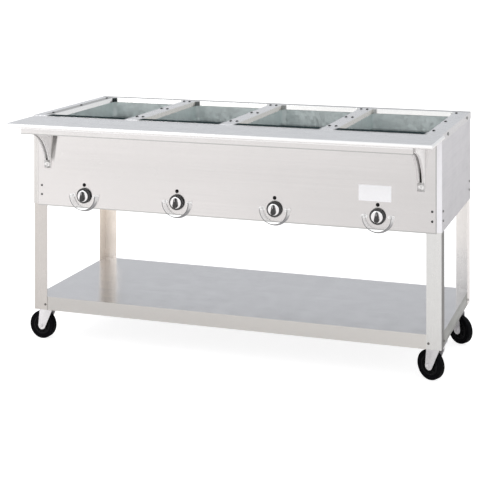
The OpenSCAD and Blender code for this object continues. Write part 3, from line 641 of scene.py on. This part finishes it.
def round_edges(obj, radius, angle):
    """Rounds the edges that are sharper than an angle in degrees, by a radius in millimetres."""
    bevel = obj.modifiers.new("rounded_edges", "BEVEL")
    bevel.width = radius * MM
    bevel.segments = 2
    bevel.limit_method = "ANGLE"
    bevel.angle_limit = math.radians(angle)


def dress(node, material, edge):
    """Gives a CAD node its material, and small rounded edges by modifiers."""
    obj = NODES[node]
    obj.data.materials.clear()
    obj.data.materials.append(material)
    obj.data.shade_smooth()
    weld = obj.modifiers.new("weld", "WELD")
    weld.merge_threshold = WELD_GAP
    flat = obj.modifiers.new("flat_faces", "DECIMATE")
    flat.decimate_type = "DISSOLVE"
    flat.angle_limit = math.radians(FLAT_ANGLE)
    if edge:
        round_edges(obj, edge, EDGE_ANGLE)
    normals = obj.modifiers.new("normals", "WEIGHTED_NORMAL")
    normals.keep_sharp = False
    normals.weight = 80


for node_name in NODES:
    slot_name = SLOTS[node_name]
    look = OTHER_LOOKS.get(node_name, slot_name)
    dress(node_name, MATERIALS[look], EDGE.get(slot_name, 0))

# ---- Mesh helpers --------------------------------------------------------------------------


def rounded(points, radii, steps=5):
    """A profile with its corners rounded: radii holds one radius, or 0, per point."""
    out = []
    for k, (point, radius) in enumerate(zip(points, radii)):
        if not radius or k in (0, len(points) - 1):
            out.append(point)
            continue
        here, before, after = Vector(point), Vector(points[k - 1]), Vector(points[k + 1])
        into, away = (before - here).normalized(), (after - here).normalized()
        half = into.angle(away) / 2
        reach = min(radius / math.tan(half), (before - here).length / 2, (after - here).length / 2)
        start, end = here + into * reach, here + away * reach
        for i in range(steps + 1):
            t = i / steps
            out.append(tuple(start * (1 - t) ** 2 + here * 2 * t * (1 - t) + end * t ** 2))
    return out


def lathe(profile, segments=96, sweep=360.0, start=0.0):
    """Turns (radius, height) points about local Z. A full turn closes; a part turn gets end caps."""
    full = sweep >= 360
    count = segments if full else segments + 1
    verts, faces, rings = [], [], []
    for radius, height in profile:
        if radius < 1e-9:
            rings.append([len(verts)] * count)
            verts.append((0, 0, height))
            continue
        rings.append(list(range(len(verts), len(verts) + count)))
        for k in range(count):
            angle = math.radians(start + sweep * k / segments)
            verts.append((radius * math.cos(angle), radius * math.sin(angle), height))
    pairs = list(zip(rings, rings[1:]))
    if not full:
        pairs.append((rings[-1], rings[0]))
    for lower, upper in pairs:
        for k in range(segments):
            n = (k + 1) % count
            quad = [lower[k], lower[n], upper[n], upper[k]]
            face = [v for i, v in enumerate(quad) if v != quad[i - 1]]
            if len(face) > 2:
                faces.append(face)
    if not full:
        faces.append([ring[0] for ring in rings])
        faces.append([ring[-1] for ring in reversed(rings)])
    return verts, faces


def loft(loops, cap=True):
    """Joins closed loops of equal length; the first and last are capped."""
    size = len(loops[0])
    verts = [tuple(point) for loop in loops for point in loop]
    faces = []
    for level in range(len(loops) - 1):
        base = level * size
        for k in range(size):
            n = (k + 1) % size
            faces.append([base + k, base + n, base + size + n, base + size + k])
    if cap:
        faces.append(list(range(size))[::-1])
        faces.append(list(range(len(verts) - size, len(verts))))
    return verts, faces


def prism(outline, low, high, edge=0.0):
    """An outline in local X and Y, raised from low to high, with its edges eased."""
    levels = [(low, 0.0), (high, 0.0)]
    if edge:
        levels = [(low, edge), (low + edge, 0.0), (high - edge, 0.0), (high, edge)]
    centre = sum((Vector(p) for p in outline), Vector((0, 0))) / len(outline)
    loops = []
    for height, inset in levels:
        loop = []
        for point in outline:
            flat = Vector(point) - centre
            flat = flat * (1 - inset / max(flat.length, 1e-9)) + centre
            loop.append((flat.x, flat.y, height))
        loops.append(loop)
    return loft(loops)


def round_outline(circles, count=64):
    """Outline round a few circles (x, y, radius), as a stretched band would lie."""
    points = []
    for k in range(count):
        angle = 2 * math.pi * k / count
        direction = Vector((math.cos(angle), math.sin(angle)))
        x, y, radius = max(circles, key=lambda c: Vector(c[:2]).dot(direction) + c[2])
        points.append((x + radius * direction.x, y + radius * direction.y))
    return points


def hexagon(radius):
    """Corners of a hexagon round the origin."""
    angles = [math.radians(60 * k) for k in range(6)]
    return [(radius * math.cos(angle), radius * math.sin(angle)) for angle in angles]


def piece(name, parts, place, slot, body, sharp=35):
    """Makes one object from (verts, faces) parts in millimetres and lets it ride on a body.

    Edges sharper than the angle sharp, in degrees, stay sharp.
    """
    mesh = bpy.data.meshes.new(name)
    verts, faces = [], []
    for part_verts, part_faces in parts:
        base = len(verts)
        verts += [tuple(c * MM for c in v) for v in part_verts]
        faces += [[base + i for i in face] for face in part_faces]
    mesh.from_pydata(verts, [], faces)
    tidy = bmesh.new()
    tidy.from_mesh(mesh)
    bmesh.ops.remove_doubles(tidy, verts=tidy.verts, dist=1e-7)
    bmesh.ops.recalc_face_normals(tidy, faces=tidy.faces)
    tidy.to_mesh(mesh)
    tidy.free()
    mesh.shade_smooth()
    mesh.set_sharp_from_angle(angle=math.radians(sharp))
    mesh.materials.append(MATERIALS[slot])
    obj = bpy.data.objects.new(name, mesh)
    bpy.context.scene.collection.objects.link(obj)
    obj.matrix_world = place
    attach(obj, body)
    return obj


# ---- Controls ------------------------------------------------------------------------------

# Local frame of a control: X right, Y up the panel, Z forwards out of the panel.
FACING = Matrix(((1, 0, 0, 0), (0, 0, -1, 0), (0, 1, 0, 0), (0, 0, 0, 1)))


def control_place(number):
    """The middle of a control on the front panel."""
    joint = JOINTS[f"knob_{number}_turn"]
    return Matrix.Translation(joint["pos_m"]) @ FACING


# The grip's two round ends, each as the distance along it and the radius, in millimetres.
GRIP_ENDS = ((-9.0, 9.0), (12.5, 4.5))
# The pointer line on the grip: where it starts and ends, and its half width.
POINTER = (6, 15, 0.55)
# Depth behind the disc's edge at which the knob's shell is closed.
DISC_DEPTH = 1.4


def make_knob(number):
    """A skirted knob with a raised grip across a bright disc, and a pointer line on the grip."""
    low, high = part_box(f"control_knob_{number}")
    face_low, face_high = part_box(f"knob_face_{number}")
    centre = JOINTS[f"knob_{number}_turn"]["pos_m"]
    skirt = (high.x - low.x) / 2 / MM
    face = (face_high.x - face_low.x) / 2 / MM
    front = (centre[1] - face_low.y) / MM
    grip_front = (centre[1] - low.y) / MM
    back = (centre[1] - high.y) / MM
    seat = front - DISC_DEPTH
    place = control_place(number)
    body = f"knob_{number}"

    rim = [(0, back), (skirt - 1, back), (skirt, back + 1), (skirt - 0.3, back + 4),
        (face + 2.2, front - 1.6), (face + 1.0, front + 0.3), (face + 0.1, front), (face, seat), (0, seat)]
    shell = lathe(rounded(rim, [0, 0.8, 0.8, 2.5, 1.2, 0.6, 0.3, 0.2, 0], steps=4))
    # Heights up the grip, and how far its outline has drawn in there.
    levels = [(seat, 0.0), (front + 4, 0.2), (grip_front - 2.2, 0.7), (grip_front - 0.9, 1.2),
        (grip_front - 0.25, 2.0), (grip_front, 3.2)]
    loops = []
    for height, inset in levels:
        outline = round_outline([(0, along, radius - inset) for along, radius in GRIP_ENDS], 72)
        loops.append([(x, y, height) for x, y in outline])
    knob = piece(f"knob_{number}_body", [shell, loft(loops)], place, "knob_black", body)
    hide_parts(f"control_knob_{number}")

    dome = front + 0.1
    disc = lathe([(0, front - 1.3), (face - 0.15, front - 1.3), (face - 0.15, front - 0.5),
        (face - 1.0, dome), (face - 6, dome + 0.2), (8, dome + 0.3), (0, dome + 0.3)])
    shown = piece(f"knob_{number}_face", [disc], place, "knob_chrome", body)
    # The chrome's rings run about the piece's own Y axis, so the turn goes into its mesh.
    shown.data.transform(FACING)
    shown.matrix_basis = Matrix.Translation(centre)
    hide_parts(f"knob_face_{number}")

    start, end, half = POINTER
    mark = prism(round_outline([(0, start, half), (0, end, half)], 24), grip_front - 0.4, grip_front + 0.05)
    piece(f"knob_{number}_pointer", [mark], place, "blank_label", body)


GUARD_SHEET = 1.2
# How much smaller a guard's radius is at its front than at the panel.
GUARD_TAPER = 7.5
# In degrees: a guard goes round a little more than the lower half of its knob.
GUARD_START, GUARD_SWEEP = 178, 184
# The ears: the inner end's distance from the middle, and the radii of both round ends.
EAR_INNER, EAR_INNER_RADIUS, EAR_RADIUS = 40, 6.5, 5.5
EAR_SHEET = 1.5


def make_guard(number):
    """A half-round sloping guard with a rolled lip and two screwed ears."""
    low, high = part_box("knob_guards")
    base = (JOINTS[f"knob_{number}_turn"]["pos_m"][2] - low.z) / MM
    depth = (high.y - low.y) / MM
    tip = base - GUARD_TAPER
    wall = [(base - GUARD_SHEET, 0.0), (base, 0.0), (tip + 1.1, depth - 3.4), (tip + 0.9, depth - 1.1),
        (tip, depth), (tip - 1.0, depth - 0.9), (tip - 0.9, depth - 2.6),
        (tip - GUARD_SHEET + 1.0, depth - 4.6)]
    wall = rounded(wall + [wall[0]], [0, 0.2, 1.2, 1.0, 0.8, 0.5, 0.4, 0.8, 0], steps=4)[:-1]
    parts = [lathe(wall, segments=72, sweep=GUARD_SWEEP, start=GUARD_START)]
    for side in (-1, 1):
        inner = (side * EAR_INNER, -1, EAR_INNER_RADIUS)
        outer = (side * (base - 4.5), -1, EAR_RADIUS)
        parts.append(prism(round_outline([inner, outer], 48), 0.0, EAR_SHEET, 0.3))
    piece(f"knob_guard_{number}", parts, control_place(number), "stainless_trim", "cabinet")


# ---- Deck screws ---------------------------------------------------------------------------

# How much broader the real heads are than the CAD's.
HEAD_GROWTH = 1.4


def islands(source):
    """Sets of a bmesh's vertices that hang together."""
    waiting = set(source.verts)
    while waiting:
        island, front = set(), [waiting.pop()]
        while front:
            vert = front.pop()
            island.add(vert)
            near = {edge.other_vert(vert) for edge in vert.link_edges} & waiting
            waiting -= near
            front += near
        yield island


def make_deck_screws():
    """The deck's screws, each grown about its seat on the sheet to the broad heads of the real ones."""
    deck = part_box("top_deck")[1]
    source = bmesh.new()
    source.from_mesh(NODES["deck_screws"].data)
    bmesh.ops.remove_doubles(source, verts=source.verts, dist=WELD_GAP)
    for screw in islands(source):
        low = Vector([min(vert.co[axis] for vert in screw) for axis in range(3)])
        high = Vector([max(vert.co[axis] for vert in screw) for axis in range(3)])
        seat = (low + high) / 2
        if high.z > deck.z + 0.001:
            seat.z = deck.z
        else:
            seat.x = math.copysign(deck.x, seat.x)
        for vert in screw:
            vert.co = seat + (vert.co - seat) * HEAD_GROWTH
    source.verts.index_update()
    verts = [tuple(vert.co / MM) for vert in source.verts]
    faces = [[vert.index for vert in face.verts] for face in source.faces]
    source.free()
    screws = piece("deck_screw_heads", [(verts, faces)], Matrix.Identity(4), "screw_steel", "cabinet")
    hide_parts("deck_screws")


# ---- Casters -------------------------------------------------------------------------------


def caster_frame(name):
    """Local frame of a caster, with its trail and its axle's height in millimetres.

    X is the way the wheel trails, Y runs along the axle, Z is up, and the origin is on the floor.
    """
    swivel = Vector(JOINTS[f"{name}_swivel"]["pos_m"])
    axle = Vector(JOINTS[f"{name}_roll"]["pos_m"])
    trail = Vector((axle.x - swivel.x, axle.y - swivel.y, 0))
    across = Vector((-trail.y, trail.x, 0)).normalized()
    along = trail.normalized()
    turn = Matrix((along, across, Vector((0, 0, 1)))).transposed().to_4x4()
    return Matrix.Translation((swivel.x, swivel.y, 0)) @ turn, trail.length / MM, axle.z / MM


def span_across(node, place):
    """Lowest and highest local Y of a node's points in a caster's frame, in millimetres."""
    back = place.inverted()
    values = [(back @ v.co).y / MM for v in NODES[node].data.vertices]
    return min(values), max(values)


# A fork in millimetres. Its arms: where their straight tops start and end along the trail, the radius of
# the round foot, and where, from the foot's middle, the slanting edges leave that foot.
ARM_BACK, ARM_FRONT = -13.0, 38.0
FOOT_RADIUS = 14.5
LEAVE_BACK, LEAVE_FRONT = (-12.6, -7.2), (14.4, 1.5)
# The strap's thickness, the radius of its bends, and how many points its mesh has.
STRAP, BEND = 2.5, 6.0
ARM_STEPS, BEND_STEPS, ACROSS = 40, 8, 25
# The pressed rib: its height, its half width as a share of the arm's, and where above the axle it starts.
RIB, RIB_WIDTH, RIB_START = 1.4, 0.45, 14
# The bore for the axle in washers, hub and swivel cup.
BORE, CUP_BORE = 4.05, 5.2
WASHER = 1.1
NUT_RADIUS, NUT_HEIGHT = 7.0, 4.9
# Inner radius of the tyre.
TYRE_SEAT = 33.0
RIBS = 8


def fork_edges(z, lead, axle_z, knee):
    """Where a fork arm starts and ends along the trail at a height."""
    if z >= knee:
        return ARM_BACK, ARM_FRONT
    foot_x, foot_z = lead - 3, axle_z - 1
    half = math.sqrt(max(0.0, FOOT_RADIUS ** 2 - (z - foot_z) ** 2))
    ends = []
    for side, (leave_x, leave_z), top in ((-1, LEAVE_BACK, ARM_BACK), (1, LEAVE_FRONT, ARM_FRONT)):
        leave = foot_z + leave_z
        t = (z - leave) / (knee - leave)
        slant = (foot_x + leave_x) * (1 - t) + top * t
        ends.append(foot_x + side * half if t < 0 else slant)
    return ends


def strap_path(middle, bottom, crown):
    """The strap's middle line in local Y and Z: up one arm, over the crown and down the other."""
    path = []
    for k in range(ARM_STEPS + 1):
        path.append((middle, bottom + (crown - BEND - bottom) * (k / ARM_STEPS) ** 1.4))
    for k in range(1, BEND_STEPS + 1):
        angle = math.radians(90 * k / BEND_STEPS)
        path.append((middle - BEND + BEND * math.cos(angle), crown - BEND + BEND * math.sin(angle)))
    path += [(middle - BEND - 4, crown), (0.0, crown)]
    return path + [(-y, z) for y, z in reversed(path[:-1])]


def make_fork(name):
    """A pressed strap fork: one sheet bent over the crown, with a raised rib down each arm."""
    place, lead, axle_z = caster_frame(name)
    low, high = span_across(f"{name}_fork", place)
    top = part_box(f"{name}_fork")[1].z / MM
    middle = (high - low) / 2 - STRAP / 2
    crown = top - 2.2 - STRAP / 2
    knee = crown - 9.5
    verts = []
    path = strap_path(middle, axle_z - 15.5, crown)
    for y, z in path:
        far, near = fork_edges(z, lead, axle_z, knee)
        rise = max(0.0, min(1.0, (z - axle_z) / (crown - BEND - axle_z)))
        fade = max(0.0, min(1.0, (z - axle_z - RIB_START) / RIB_START)) * (1 - rise ** 6)
        on_arm = abs(y) > middle - 0.5
        for i in range(ACROSS + 1):
            x = far + (near - far) * i / ACROSS
            u = 2 * i / ACROSS - 1
            out = RIB * math.exp(-((u / RIB_WIDTH) ** 2)) * fade if on_arm else 0.0
            verts.append((x, y + math.copysign(out, y) if out else y, z))
    faces = []
    width = ACROSS + 1
    for row in range(len(path) - 1):
        for column in range(ACROSS):
            a = row * width + column
            faces.append([a, a + 1, a + width + 1, a + width])
    strap = piece(f"{name}_fork_strap", [(verts, faces)], place, "zinc_plate", f"{name}_caster", sharp=60)
    shell = strap.modifiers.new("sheet", "SOLIDIFY")
    shell.thickness = STRAP * MM
    shell.offset = 0
    round_edges(strap, 0.5, 50)
    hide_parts(f"{name}_fork")

    cup = [(CUP_BORE, crown - 1.0), (16, crown - 1.0), (16.5, top - 1.5), (15, top), (11, top),
        (10.4, top - 1.2), (CUP_BORE, top - 1.2)]
    cup = rounded(cup, [0, 0.4, 1.2, 1.0, 0.4, 0.4, 0], steps=4)
    piece(f"{name}_fork_cup", [lathe(cup + [cup[0]], 64)], place, "zinc_plate", f"{name}_caster")


def on_axle(place, lead, axle_z):
    """Frame on a wheel's axle, with local Z along it."""
    turn = Matrix.Rotation(math.radians(-90), 4, "X")
    return place @ (Matrix.Translation((lead * MM, 0, axle_z * MM)) @ turn)


def washer(z):
    """A washer on the axle that starts at z along it."""
    edge = z + WASHER
    ring = [(BORE, z), (8.4, z), (8.6, z + 0.3), (8.6, z + 0.9), (8.4, edge), (BORE, edge), (BORE, z)]
    return lathe(ring, 48)


def make_axle(name):
    """Axle bolt with a chamfered hexagon head, washers and a nut."""
    place, lead, axle_z = caster_frame(name)
    low, high = span_across(f"{name}_axle", place)
    arm_low, arm_high = span_across(f"{name}_fork", place)
    shank = lathe([(0, low + 1), (4, low + 1), (4, high - 1.0), (3.2, high), (0, high)], 32)
    head = prism(hexagon(NUT_RADIUS), low, arm_low - WASHER, 0.7)
    nut_low = arm_high + WASHER
    nut = prism(hexagon(NUT_RADIUS), nut_low, nut_low + NUT_HEIGHT, 0.7)
    parts = [shank, head, nut, washer(arm_low - WASHER), washer(arm_high)]
    axle_place = on_axle(place, lead, axle_z)
    bolt = piece(f"{name}_axle_bolt", parts, axle_place, "zinc_plate", f"{name}_caster")
    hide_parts(f"{name}_axle")


def mirrored(half_profile):
    """A closed lathe profile from its half above height 0; a last point at height 0 isn't doubled."""
    keep = half_profile[:-1] if half_profile[-1][1] == 0 else half_profile
    profile = half_profile + [(r, -h) for r, h in reversed(keep)]
    return profile + [profile[0]]


def make_wheel(name):
    """Rubber tyre with a crowned tread and stepped side walls, on a ribbed moulded hub."""
    place, lead, axle_z = caster_frame(name)
    wheel_place = on_axle(place, lead, axle_z)
    radius = axle_z
    low, high = span_across(f"{name}_tyre", place)
    half = (high - low) / 2
    hub_low, hub_high = span_across(f"{name}_hub", place)
    boss = (hub_high - hub_low) / 2

    side = [(TYRE_SEAT, half - 1.6), (TYRE_SEAT + 1.5, half - 0.6), (38, half - 0.4), (38.6, half - 1.0),
        (40.4, half - 1.0), (41, half - 0.3), (radius - 4.0, half), (radius - 0.8, half - 0.9),
        (radius - 0.1, half - 4.0), (radius, 0.0)]
    side = rounded(side, [0, 0.8, 0.3, 0.3, 0.3, 0.4, 2.0, 2.5, 2.5, 0], steps=5)
    tread = [lathe(mirrored(side), 128)]
    tyre = piece(f"{name}_tyre_tread", tread, wheel_place, "tyre_black", f"{name}_wheel", sharp=50)
    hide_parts(f"{name}_tyre")

    rim = [(BORE, boss), (10.2, boss), (11, boss - 0.8), (11.4, 6.5), (12.5, 5.2), (26.5, 4.4), (28, 5.4),
        (28.6, half - 2.2), (29.4, half - 1.5), (TYRE_SEAT, half - 1.5)]
    rim = rounded(rim, [0, 0.4, 0.4, 1.0, 1.5, 1.5, 1.5, 0.6, 0.6, 0], steps=4)
    parts = [lathe(mirrored(rim), 96)]
    for k in range(RIBS):
        spoke = Matrix.Rotation(math.radians(360 / RIBS * k), 3, "Z")
        for inner, outer in ((-8.2, -3.5), (3.5, 8.2)):
            verts, faces = prism([(10.5, -1.0), (28.4, -0.8), (28.4, 0.8), (10.5, 1.0)], inner, outer, 0.3)
            parts.append(([tuple(spoke @ Vector(vert)) for vert in verts], faces))
    hub = piece(f"{name}_hub_core", parts, wheel_place, "hub_black", f"{name}_wheel")
    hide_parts(f"{name}_hub")


for well in WELLS:
    make_knob(well)
    make_guard(well)
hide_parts("knob_guards")
make_deck_screws()
for caster in CASTERS:
    make_fork(caster)
    make_axle(caster)
    make_wheel(caster)

# ---- Stage, light and camera ---------------------------------------------------------------

FLOOR_SIZE = 60
# The floor's colour as it lights the table, its colour as the camera sees it, and its glow to the camera.
FLOOR_BOUNCE, FLOOR_SEEN, FLOOR_GLOW = (0.93, 0.905, 0.89), (0.50, 0.50, 0.50), 0.80
SKY_REAR = (0.74, 0.75, 0.77)
SKY_FRONT = (1.12, 1.12, 1.12)


def make_floor():
    """A plain floor: to the camera it glows a little, so that it stays pale and its shadows soft."""
    mesh = bpy.data.meshes.new("floor")
    half = FLOOR_SIZE / 2
    corners = [(-half, -half, 0), (half, -half, 0), (half, half, 0), (-half, half, 0)]
    mesh.from_pydata(corners, [], [(0, 1, 2, 3)])
    floor = bpy.data.objects.new("floor", mesh)
    bpy.context.scene.collection.objects.link(floor)
    s = Shader("floor")
    path = s.tree.nodes.new("ShaderNodeLightPath")
    seen = path.outputs["Is Camera Ray"]
    s.link(s.mix(seen, FLOOR_BOUNCE, FLOOR_SEEN), s.bsdf.inputs["Base Color"])
    s.link(s.math("MULTIPLY", seen, FLOOR_GLOW), s.bsdf.inputs["Emission Strength"])
    s.set(Roughness=0.9, Emission_Color=(*WHITE, 1), Specular_IOR_Level=0.0)
    mesh.materials.append(s.material)


def make_world():
    """White to the camera; to everything else a soft sky, brighter in front of the table than behind."""
    world = bpy.data.worlds.new("studio")
    bpy.context.scene.world = world
    world.use_nodes = True
    tree = world.node_tree
    background = tree.nodes["Background"]
    path = tree.nodes.new("ShaderNodeLightPath")
    coords = tree.nodes.new("ShaderNodeTexCoord")
    split = tree.nodes.new("ShaderNodeSeparateXYZ")
    ramp = tree.nodes.new("ShaderNodeValToRGB")
    level = tree.nodes.new("ShaderNodeMapRange")
    mix = tree.nodes.new("ShaderNodeMix")
    mix.data_type = "RGBA"
    tree.links.new(coords.outputs["Generated"], split.inputs["Vector"])
    tree.links.new(split.outputs["Y"], level.inputs["Value"])
    level.inputs["From Min"].default_value = 1
    level.inputs["From Max"].default_value = -1
    tree.links.new(level.outputs["Result"], ramp.inputs["Fac"])
    for element, shade_value in zip(ramp.color_ramp.elements, (SKY_REAR, SKY_FRONT)):
        element.color = (*shade_value, 1)
    tree.links.new(path.outputs["Is Camera Ray"], mix.inputs["Factor"])
    tree.links.new(ramp.outputs["Color"], mix.inputs[MIX_A])
    mix.inputs[MIX_B].default_value = (*WHITE, 1)
    tree.links.new(mix.outputs[MIX_RESULT], background.inputs["Color"])


def area_light(name, position, target, size, power):
    """A rectangular light that points at the target. Power is in watts, lengths in metres."""
    data = bpy.data.lights.new(name, "AREA")
    data.shape = "RECTANGLE"
    data.size, data.size_y = size
    data.energy = power
    light = bpy.data.objects.new(name, data)
    light.location = position
    light.rotation_euler = (Vector(target) - Vector(position)).to_track_quat("-Z", "Y").to_euler()
    bpy.context.scene.collection.objects.link(light)


# A level camera with a rising front, so that upright edges stay parallel.
CAMERA_AT = (1.4488, -4.0363, 1.4361)
CAMERA_YAW = 0.312
LENS = 90.47
SHIFT = {"shift_x": -0.0922, "shift_y": -0.6146}


def make_camera():
    """The camera at the photograph's viewing angle."""
    data = bpy.data.cameras.new("camera")
    camera = bpy.data.objects.new("camera", data)
    bpy.context.scene.collection.objects.link(camera)
    bpy.context.scene.camera = camera
    camera.location = CAMERA_AT
    camera.rotation_euler = (math.pi / 2, 0, CAMERA_YAW)
    data.lens = LENS
    data.clip_end = 100
    # The shift belongs to this place only, so a driver drops it when the camera is moved elsewhere.
    for path, value in SHIFT.items():
        driver = data.driver_add(path).driver
        variable = driver.variables.new()
        variable.name = "x"
        variable.type = "TRANSFORMS"
        variable.targets[0].id = camera
        variable.targets[0].transform_type = "LOC_X"
        driver.expression = f"{value} if abs(x - {CAMERA_AT[0]}) < 0.001 else 0"


make_floor()
make_world()
area_light("key", position=(-2.6, -3.0, 3.2), target=(-0.3, -0.4, 0.3), size=(2.5, 1.8), power=40)
make_camera()
bpy.context.scene.view_settings.view_transform = "Standard"

bpy.context.view_layer.update()
